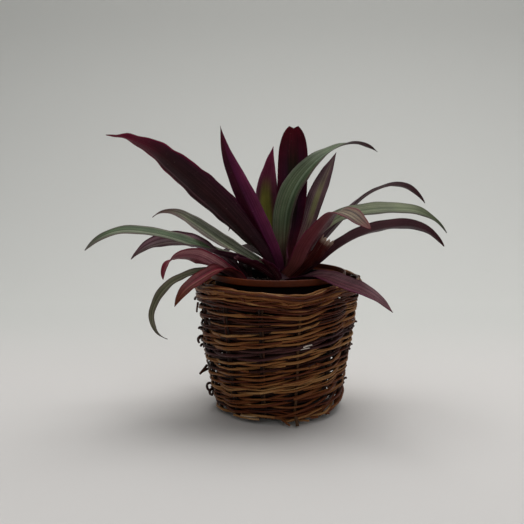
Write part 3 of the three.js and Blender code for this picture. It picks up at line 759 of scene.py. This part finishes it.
leaves = {
    "tall_back": shape(0, 70, 172, 35, [66, 68, 84, 88, 88], [0, 8, 12], fold=[50, 14, 6], peak=0.6,
        neck=0.5, blunt=4, notch=(4.5, 5.0), upper="crimsonTip", slot="leaf_dark"),
    "upright_middle": shape(0, 120, 156, 36, [62, 52, 78, 108, 120], [0, 0, -5], fold=[50, 24, 15],
        peak=0.45, neck=0.5, upper="mauveUpper", slot="leaf_purple"),
    "tall_arch": shape(0, 25, 226, 29, [98, 86, 50, 22, -32], [20, 40, 25, 0, -15], fold=[50, 20, 10],
        peak=0.4, blunt=2.4, upper="tealUpper", under="darkUnder"),
    "upright_left": shape(1, 203, 179, 25, [76, 62, 63, 66, 82], [10, 50, 60], fold=[50, 20, 12], peak=0.45,
        upper="greenUpper", under="magentaUnder", slot="leaf_purple"),
    "upright_right": shape(1, 51, 171, 24, [60, 46, 64, 54, 50], [0, 10, 20], fold=[50, 25, 15], peak=0.58,
        neck=0.5, upper="greyPurpleUpper", slot="leaf_purple"),
    "front_folded": shape(1, 310, 158, 30, [31, 40, 63, 50, 46, 41, -6, -30, -24], [-10, 1, 22],
        fold=[45, 10, 8], peak=0.4, blunt=3, upper="stripedUpper", under="duskyUnder", slot="leaf_purple"),
    "green_right": shape(1, 9, 224, 29, [56, 49, 9, -4, -55], [4, 19, 22, 26, 36], fold=[50, 16, 8],
        peak=0.5, neck=0.5, blunt=2.4, upper="greenUpper"),
    "broad_left": shape(2, 190, 249, 36, [62, 50, 42, 39, 2], [15, 60, 62, 50, 20], fold=[50, 16, 8],
        peak=0.48, neck=0.5, blunt=2.3, wave=(0.9, 8), under="plumUnder", slot="leaf_dark"),
    "arch_right": shape(2, 27, 234, 21, [41, 43, 43, 6, -52], [0, -9, -19, -17, -30], fold=[50, 20, 10],
        peak=0.4, neck=0.5, blunt=2.6, upper="darkUnder", under="darkUnder", slot="leaf_dark"),
    "dark_right": shape(2, 353, 192, 29, [23, 43, 24, 0, -58], [-4, -27, -39], fold=[50, 16, 8], peak=0.45,
        blunt=2.4, under="darkUnder", slot="leaf_dark"),
    "middle_left": shape(2, 160, 178, 22, [38, 26, 32, 30, -35], [0, -13, -29, -26, -26], fold=[50, 16, 8],
        neck=0.5, blunt=2.4, upper="paleMarginUpper"),
    "long_left": shape(3, 190, 225, 27, [41, 19, 21, 6, -49], [0, 6, -16, -18, -36], fold=[50, 16, 8],
        neck=0.5, blunt=2.6),
    "torn_right": shape(3, 335, 69, 21, [50, 36, 50, 57, 52], [-10, -38, -57], fold=[50, 30, 20], peak=0.5,
        neck=0.8, tip=17, torn=4.0, upper="tornCrimson", under="tornCrimson", slot="leaf_red"),
    "trailing_right": shape(3, 303, 172, 18, [15, 19, 9, -7, -4, -16, -30], [-4, 20, 32, 17],
        fold=[50, 12, 6], peak=0.5, neck=0.7, blunt=2.4, upper="mauveTrail", under="mauveTrail",
        slot="leaf_purple"),
    "side_upper": shape(1, 171, 153, 26, [55, 37, 14, -15, -49], [0, 0, 47, 52, 26], crown="side", peak=0.4,
        blunt=2.4, upper="greyPinkUpper", under="greyPinkUpper", slot="leaf_purple"),
    "side_front": shape(2, 218, 126, 25, [35, 32, 28, -5, -96], [-20, 14, 38, 35, -13], crown="side",
        peak=0.4, blunt=2.8, upper="pinkUpper", under="pinkUpper", slot="leaf_red"),
    "side_trailing": shape(3, 207, 164, 16, [59, 6, -21, -69, -155], [10, -12, -15], crown="side",
        fold=[50, 20, 12], peak=0.4, neck=0.7, blunt=2.6, upper="oliveUpper"),
    "side_low": shape(3, 231, 124, 19, [56, 30, -16, -18, -58], [0, -13, -30], crown="side",
        fold=[50, 20, 12], peak=0.4, neck=0.7, blunt=2.6, upper="redUpper", under="redUpper",
        slot="leaf_red"),
    "back_right": shape(2, 68, 170, 27, [62, 26, 4, -20, -46], [0, 5, 0], upper="greenUpper"),
    "back": shape(3, 88, 165, 28, [66, 20, 0, -24, -50], [0, -8, 0]),
    "back_middle": shape(2, 113, 200, 27, [70, 34, 14, -10, -40], [0, 10, 5], upper="paleMarginUpper"),
    "back_left": shape(3, 128, 150, 24, [64, 20, 2, -22, -48], [0, -5, 0], upper="shadedBack"),
    "side_back": shape(2, 106, 120, 20, [70, 24, 0, -28, -54], [0, 5, 0], crown="side", upper="shadedBack"),
    "stub_left": shape(3, 205, 60, 20, [42, 30, 22], [0, 20], fold=[45, 35], peak=0.5, neck=0.8, tip=10,
        torn=1.2, upper="cutStub", under="cutStub", slot="leaf_red"),
    "stub_front": shape(3, 222, 40, 16, [60, 46, 38], [0, 10], fold=[45, 35], peak=0.5, neck=0.8, tip=8,
        torn=1.2, upper="cutStub", under="cutStub", slot="leaf_red"),
}


# across: colours from one margin to the other; root, tip and edge: (colour, reach); heart: a patch
# about the midrib as (colour, from, to, half width); all as shares of the blade.
def look(across, root, tip, edge, **own):
    return dict(across=across, root=root, tip=tip, edge=edge, **own)


leafFinishes = {
    "plumUnder": look({0: "#30121a", 0.1: "#2c1319", 0.17: "#573b40", 0.22: "#2b141a", 0.5: "#301619",
        0.8: "#2f141c", 1: "#44142a"}, ("#361522", 0.3), ("#740a30", 0.7), ("#86123e", 0.07), edgeFrom=0.5,
        streak=("#4a2f33", 0.2)),
    "magentaUnder": look({0: "#300216", 0.35: "#380419", 0.47: "#3a061f", 0.56: "#52163a", 0.8: "#5c1c3c",
        1: "#763054"}, ("#4c2036", 0.25), ("#4c141c", 0.76), ("#6a204a", 0.03), streak=("#74406a", 0.1)),
    "mauveUpper": look({0: "#86445c", 0.2: "#6c2e48", 0.5: "#582438", 0.8: "#662c44", 1: "#7a4258"},
        ("#4c4a26", 0.2), ("#8c2c50", 0.66), ("#8a486a", 0.05), heart=("#86823a", 0.1, 0.7, 0.34)),
    "crimsonTip": look({0: "#460a26", 0.25: "#3a142c", 0.5: "#30182a", 0.75: "#381226", 1: "#460a20"},
        ("#6e3034", 0.42), ("#4c020c", 0.66), ("#4c0820", 0.06), heart=("#221c12", 0.4, 0.85, 0.26),
        mottle=0.45, streak=("#46101a", 0.2)),
    "tealUpper": look({0: "#4c3436", 0.1: "#443e34", 0.2: "#4b573e", 0.3: "#3c4a34", 0.4: "#4a583f",
        0.46: "#707e66", 0.54: "#434f36", 0.66: "#58654b", 0.8: "#445038", 0.9: "#56604a", 1: "#666c58"},
        ("#6c3034", 0.3), ("#342628", 0.74), ("#5c5450", 0.03)),
    "greyPurpleUpper": look({0: "#482c34", 0.3: "#5a4246", 0.42: "#786858", 0.5: "#4e3d3c", 0.6: "#6c5c54",
        0.75: "#50383e", 1: "#422a30"}, ("#6e1c2c", 0.56), ("#44282f", 0.75), ("#3a1a24", 0.05),
        heart=("#787450", 0.5, 0.7, 0.2)),
    # duskyUnder's pale root colour is painted light: it lifts the shade on the leaf base deep in the crown
    "duskyUnder": look({0: "#663036", 0.3: "#6c3238", 0.47: "#6c383e", 0.53: "#704046", 0.62: "#54222a",
        0.85: "#40161e", 1: "#501c28"}, ("#96544a", 0.34), ("#6c2838", 0.8), ("#6e2844", 0.04),
        streak=("#7c4650", 0.2)),
    "stripedUpper": look({0: "#3c2022", 0.12: "#64403e", 0.22: "#36261f", 0.36: "#887a62", 0.46: "#3a2b25",
        0.58: "#7e6c56", 0.7: "#322420", 0.84: "#745a4a", 0.94: "#4a2022", 1: "#702032"}, ("#4c5040", 0.2),
        ("#642428", 0.84), ("#7c2c3e", 0.04), streak=("#a39278", 0.3)),
    "darkUnder": look({0: "#482830", 0.3: "#44242b", 0.55: "#44232b", 0.75: "#3c1f28", 0.9: "#3a2029",
        1: "#2c1620"}, ("#40181f", 0.3), ("#3a161d", 0.8), ("#2c1018", 0.05), streak=("#684049", 0.2)),
    "greenUpper": look({0: "#423634", 0.1: "#424535", 0.2: "#4c5240", 0.3: "#686d55", 0.4: "#5a6448",
        0.52: "#757c5f", 0.62: "#5c6748", 0.78: "#757b5f", 1: "#666d55"}, ("#6c3640", 0.46),
        ("#222816", 0.7), ("#54443e", 0.03)),
    "paleMarginUpper": look({0: "#66645a", 0.12: "#3e4030", 0.22: "#5a5c4c", 0.32: "#383c2a",
        0.46: "#454d32", 0.55: "#6c6e56", 0.66: "#3a382c", 0.78: "#625a4e", 0.88: "#40332e", 1: "#76665e"},
        ("#4c5631", 0.3), ("#4c2226", 0.66), ("#6c5c58", 0.05), streak=("#8a8674", 0.34)),
    "leafGreenUpper": look({0: "#686c5a", 0.14: "#46543c", 0.28: "#586a4c", 0.4: "#445638", 0.5: "#8c9078",
        0.58: "#586850", 0.7: "#707560", 0.82: "#565444", 1: "#6c5f5c"}, ("#5c2830", 0.26),
        ("#6c645e", 0.85), ("#64504c", 0.05), streak=("#8f8f78", 0.3)),
    "mauveTrail": look({0: "#48202e", 0.13: "#5a1c36", 0.25: "#3e1820", 0.36: "#60303a", 0.48: "#44202a",
        0.6: "#70464e", 0.72: "#50303a", 0.86: "#6c484e", 1: "#4a3038"}, ("#40242a", 0.34), ("#643640", 0.8),
        ("#5e2440", 0.04)),
    # pinkUpper's pale root colour is painted light: it lifts the shade on the leaf base deep in the crown
    "pinkUpper": look({0: "#66182a", 0.15: "#782438", 0.3: "#661c2e", 0.5: "#986068", 0.65: "#86505a",
        0.85: "#a87478", 1: "#7c3442"}, ("#a88080", 0.34), ("#740e26", 0.68), ("#6c1a30", 0.07),
        streak=("#c29a96", 0.36)),
    "greyPinkUpper": look({0: "#381824", 0.2: "#4c2c34", 0.34: "#806c68", 0.44: "#4c343a", 0.58: "#988086",
        0.7: "#64444c", 0.84: "#9a7480", 1: "#40202c"}, ("#1e0609", 0.52), ("#553a3c", 0.8),
        ("#4c1c2a", 0.05), streak=("#b09aa0", 0.34)),
    "oliveUpper": look({0: "#564a40", 0.2: "#6c6a54", 0.36: "#4a4c38", 0.5: "#827e66", 0.62: "#4c4c3a",
        0.8: "#6a6854", 1: "#56463e"}, ("#6c5044", 0.3), ("#3c3030", 0.84), ("#5c4a40", 0.05)),
    "redUpper": look({0: "#56282a", 0.18: "#70303a", 0.3: "#4a1018", 0.42: "#721830", 0.52: "#84504a",
        0.62: "#46141a", 0.78: "#6c3036", 0.9: "#44181c", 1: "#4c2222"}, ("#84484c", 0.42),
        ("#4c260c", 0.62), ("#6a141c", 0.07), streak=("#94583e", 0.36)),
    "tornCrimson": look({0: "#560f12", 0.5: "#4a0c0c", 1: "#4a0c12"}, ("#5c3030", 0.2), ("#b49c8a", 0.86),
        ("#5c1a24", 0.05), mottle=0.5),
    "cutStub": look({0: "#4c0c24", 0.5: "#380c18", 1: "#4c0c24"}, ("#3c2430", 0.2), ("#7c5058", 0.93),
        ("#4c1c34", 0.06)),
    "shadedBack": look({0: "#301018", 0.5: "#241410", 1: "#301018"}, ("#301a18", 0.25), ("#30141c", 0.8),
        ("#3a1020", 0.04)),
    "plainUnder": look({0: "#4c2038", 0.45: "#3e182c", 0.5: "#5c3048", 0.55: "#3e182c", 1: "#4c2038"},
        ("#5f4a48", 0.25), ("#45182a", 0.8), ("#5c2a46", 0.04)),
}
leafSkin = {
    "drift": dict(stretch=(5, 1.6, 1), scale=1.7, detail=2.0),
    "veins": dict(stretch=(46, 1.3, 1), scale=1.0, roughness=0.6),
    "fine": dict(stretch=(130, 2.2, 1), scale=1.0, detail=2.0, roughness=0.6),
    "cloud": dict(scale=45.0), "speck": dict(scale=420.0, detail=2.0),
    "shades": {0.37: 0.12, 0.63: 0.84}, "dust": "#b8aaa0", "ridges": 150.0,
}


def makeLeafFinish(name, across, root, tip, edge, heart=None, mottle=0.3, streak=("#8f8376", 0.22),
                   edgeFrom=-0.2):
    finish = Finish(name, Specular_IOR_Level=0.09)
    times, plus, centred, step, mix = finish.times, finish.plus, finish.centred, finish.step, finish.mix
    uv = finish.node("ShaderNodeUVMap", uv_map="blade").outputs[0]
    u, v = finish.node("ShaderNodeSeparateXYZ", {0: uv}).outputs[:2]
    drift, veins, fine = finish.noises(uv, leafSkin, "drift", "veins", "fine")
    cloud, speck = finish.noises(finish.objectSpace(), leafSkin, "cloud", "speck")
    skin = finish.ramp(plus(u, centred(drift, 0.07)), across)
    pale = step(plus(veins, times(fine, 0.4)), 0.72, 0.95, streak[1] * 2)
    skin = mix(pale, skin, streak[0])
    fromRib = finish.maths("ABSOLUTE", finish.maths("SUBTRACT", u, 0.5))
    if heart:
        tone, low, high, half = heart
        inside = times(step(v, low - 0.12, low + 0.05), step(v, high + 0.1, high - 0.12))
        ragged = plus(fromRib, centred(veins, 0.25))
        skin = mix(times(inside, step(ragged, half, half * 0.35)), skin, tone)
    reach = plus(v, centred(veins, 0.12))
    # some root colours (duskyUnder, pinkUpper) are painted light, brightening leaf bases in the crown's shade
    skin = mix(step(reach, root[1], 0.0, 0.85), skin, root[0])
    skin = mix(step(reach, tip[1], 1.0, 0.85), skin, tip[0])
    rim = step(fromRib, 0.5 - edge[1], 0.5 - edge[1] * 0.3, 0.8)
    skin = mix(times(rim, step(v, edgeFrom, edgeFrom + 0.2)), skin, edge[0])
    shade = plus(plus(times(veins, 0.4), times(cloud, 0.25)), times(fine, 0.35))
    skin = mix(min(mottle * 2.6, 1.0), skin, finish.ramp(shade, leafSkin["shades"]), "OVERLAY")
    skin = mix(step(speck, 0.66, 0.76, 0.08), skin, leafSkin["dust"])
    ridges = finish.maths("SINE", times(u, leafSkin["ridges"]))
    return finish.coat(skin, (cloud, 0.36, 0.55), (plus(times(ridges, 0.25), veins), 0.3, 0.0005))


def leafHalfWidth(leaf, s):
    full, peak, neck, blunt = leaf["width"] / 2, leaf["peak"], leaf["neck"], leaf["blunt"]
    near = full * (neck + (1 - neck) * np.sin(np.pi * np.minimum(s, peak) / (2 * peak)))
    far = full * (1 - np.clip((s - peak) / (1 - peak), 0, 1) ** blunt) ** (2.3 / blunt)
    return np.where(s < peak, near, np.maximum(far, leaf["tip"] / 2))


def midrib(leaf, steps):  # points and axes along the middle of a blade
    fine = 8
    s = np.arange(steps * fine + 1) / (steps * fine)
    heading = math.radians(leaf["heading"])
    slope = np.radians(along(leaf["slope"], s))
    level = np.cos(slope)
    tangent = np.stack([level * math.cos(heading), level * math.sin(heading), np.sin(slope)], axis=-1)
    out, down = tiers[leaf["tier"]]
    x, y, top = crowns[leaf["crown"]]
    root = np.array([x + out * math.cos(heading), y + out * math.sin(heading), top - down])
    point = root + np.vstack([np.zeros(3), np.cumsum(tangent[:-1], axis=0)]) * leaf["length"] / (steps * fine)
    s, point, tangent = s[::fine], point[::fine], tangent[::fine]
    acrossWay = np.array([-math.sin(heading), math.cos(heading), 0])
    up = np.cross(tangent, acrossWay)
    roll = np.radians(along(leaf["roll"], s))[:, None]
    side = acrossWay * np.cos(roll) + up * np.sin(roll)
    return s, point, tangent, side, np.cross(tangent, side)


def makeLeaf(name, leaf, rng):
    steps, count = blade["steps"], blade["across"]
    s, point, tangent, side, face = midrib(leaf, steps)
    half, fold = leafHalfWidth(leaf, s), np.radians(along(leaf["fold"], s))
    t = np.linspace(-1, 1, count + 1)
    k = blade["gutter"]
    lift = (np.sqrt(t * t + k * k) - k) / (math.sqrt(1 + k * k) - k)
    rootward, edgeward = np.meshgrid(s, t, indexing="ij")
    size, waves = leaf["wave"]
    phase = [rng.uniform(0, 6.3) for _ in range(4)]

    def marginWave(pace, otherPace, first, second):
        turn = math.tau * waves
        return np.sin(turn * pace * rootward + first) + 0.6 * np.sin(turn * otherPace * rootward + second)

    margin = np.where(edgeward > 0, marginWave(1, 1.7, *phase[:2]), marginWave(0.8, 1.5, *phase[2:]))
    ripple = size * margin * edgeward ** 2 * smooth(rootward / 0.2)
    shift = np.zeros_like(rootward)
    if "notch" in leaf:
        depth, reach = leaf["notch"]
        dent = np.exp(-(edgeward * half[:, None] / reach) ** 4 * 8)
        shift -= depth * dent * smooth((rootward - 0.93) / 0.07)
    if "torn" in leaf:
        rag = np.array([rng.uniform(-1, 0.2) for _ in t])
        shift += leaf["torn"] * rag[None, :] * smooth((rootward - 0.8) / 0.2)

    def grid(offset):
        spread = (half[:, None] * np.cos(fold)[:, None] * t)[..., None] * side[:, None, :]
        rise = (half[:, None] * np.sin(fold)[:, None] * lift + ripple + offset)[..., None] * face[:, None, :]
        return point[:, None, :] + spread + rise + shift[..., None] * tangent[:, None, :]

    thin = blade["marginThickness"]
    thick = (blade["ribThickness"] * (1 - 0.5 * rootward) - thin) * (1 - np.abs(edgeward)) ** 1.5 + thin
    thick = np.minimum(thick, 0.3 + half[:, None] * 0.5)
    points = np.concatenate([grid(thick / 2).reshape(-1, 3), grid(-thick / 2).reshape(-1, 3)]) * mm
    width = count + 1
    base = (steps + 1) * width
    faces = []
    for i in range(steps):
        for j in range(count):
            a = i * width + j
            faces.append((a, a + width, a + width + 1, a + 1))
            faces.append((base + a, base + a + 1, base + a + width + 1, base + a + width))
    rim = [i * width for i in range(steps, 0, -1)] + list(range(count))
    rim += [i * width + count for i in range(steps)] + [steps * width + j for j in range(count, 0, -1)]
    slots = [0, 1] * (steps * count) + [0] * len(rim)
    faces += [(a, b, base + b, base + a) for a, b in zip(rim, rim[1:] + rim[:1])]
    mesh = newMesh(name, points.tolist(), faces, [leafMaterials[leaf["upper"]], leafMaterials[leaf["under"]]])
    uvs = [uv for face in faces for a in face for uv in (a % width / count, a % base // width / steps)]
    mesh.uv_layers.new(name="blade").data.foreach_set("uv", uvs)
    mesh.polygons.foreach_set("material_index", slots)
    mesh.shade_smooth()
    finishPiece(name, mesh, leaf["slot"], ["leaf_" + name])


leafMaterials = {name: makeLeafFinish(name, **style) for name, style in leafFinishes.items()}
leafRandom = random.Random(31)
for leafName, leafShape in leaves.items():
    makeLeaf(leafName, leafShape, leafRandom)
print("leaves grown")


studio = {
    "halfWidth": 3.0, "front": -1.6, "back": 1.3, "bend": 0.7, "height": 2.6, "sink": 0.0003,
    # floorTone is lighter than wallTone as painted light: the floor is painted brighter as if lit more
    "floorTone": "#d3d0cd", "wallTone": "#c8c8c4", "toneChange": (0.05, 0.5),
    "lamps": {"top": dict(place=(0.24, 0.72, 2.2), size=2.3, power=54.0),
              "key": dict(place=(0.7, -1.6, 1.3), size=1.2, power=4.0)},
    "aim": (0, 0, 0.15), "sky": (0.97, 0.99, 1.0, 1), "skyStrength": 0.23,
}


def makeBackdrop():
    bend = studio["bend"]
    line = [(studio["front"], 0), (studio["back"] - bend, 0)]
    for a in np.linspace(0, math.pi / 2, 20)[1:]:
        line.append((studio["back"] - bend + bend * math.sin(a), bend * (1 - math.cos(a))))
    line.append((studio["back"], studio["height"]))
    sides = (-studio["halfWidth"], studio["halfWidth"])
    points = [(x, y, z - studio["sink"]) for y, z in line for x in sides]
    faces = [(2 * i, 2 * i + 1, 2 * i + 3, 2 * i + 2) for i in range(len(line) - 1)]
    finish = Finish("backdropPaper", Roughness=0.9)
    # painted light: the floor part of the paper is lighter than the wall part
    wallward = finish.step(finish.objectAxis("Y"), *studio["toneChange"])
    paper = finish.coat(finish.mix(wallward, studio["floorTone"], studio["wallTone"]))
    mesh = newMesh("backdrop", points, faces, [paper])
    mesh.shade_smooth()
    newObject("backdrop", mesh)


def makeLight(name, place, size, power):
    light = bpy.data.lights.new(name, "AREA")
    light.shape, light.size, light.energy = "DISK", size, power
    lamp = newObject(name, light)
    lamp.location = place
    x, y, z = np.array(studio["aim"]) - np.array(place)
    lamp.rotation_euler = (math.atan2(math.hypot(x, y), -z), 0, math.atan2(y, x) - math.pi / 2)


makeBackdrop()
for lampName, lamp in studio["lamps"].items():
    makeLight(lampName, **lamp)
world = bpy.data.worlds.new("studio")
world.use_nodes = True
sky = world.node_tree.nodes["Background"].inputs
sky["Color"].default_value = studio["sky"]
sky["Strength"].default_value = studio["skyStrength"]
bpy.context.scene.world = world
bpy.context.scene.view_settings.view_transform = "Standard"

view = {"lens": 48.71, "sensor": 36.0, "nearest": 0.01, "place": (-0.018, -0.780, 0.268), "lookDown": 7.7}
lens = bpy.data.cameras.new("camera")
lens.lens, lens.sensor_width, lens.clip_start = view["lens"], view["sensor"], view["nearest"]
camera = newObject("camera", lens)
camera.location = view["place"]
camera.rotation_euler = (math.radians(90 - view["lookDown"]), 0, 0)
bpy.context.scene.camera = camera

print("scene ready")
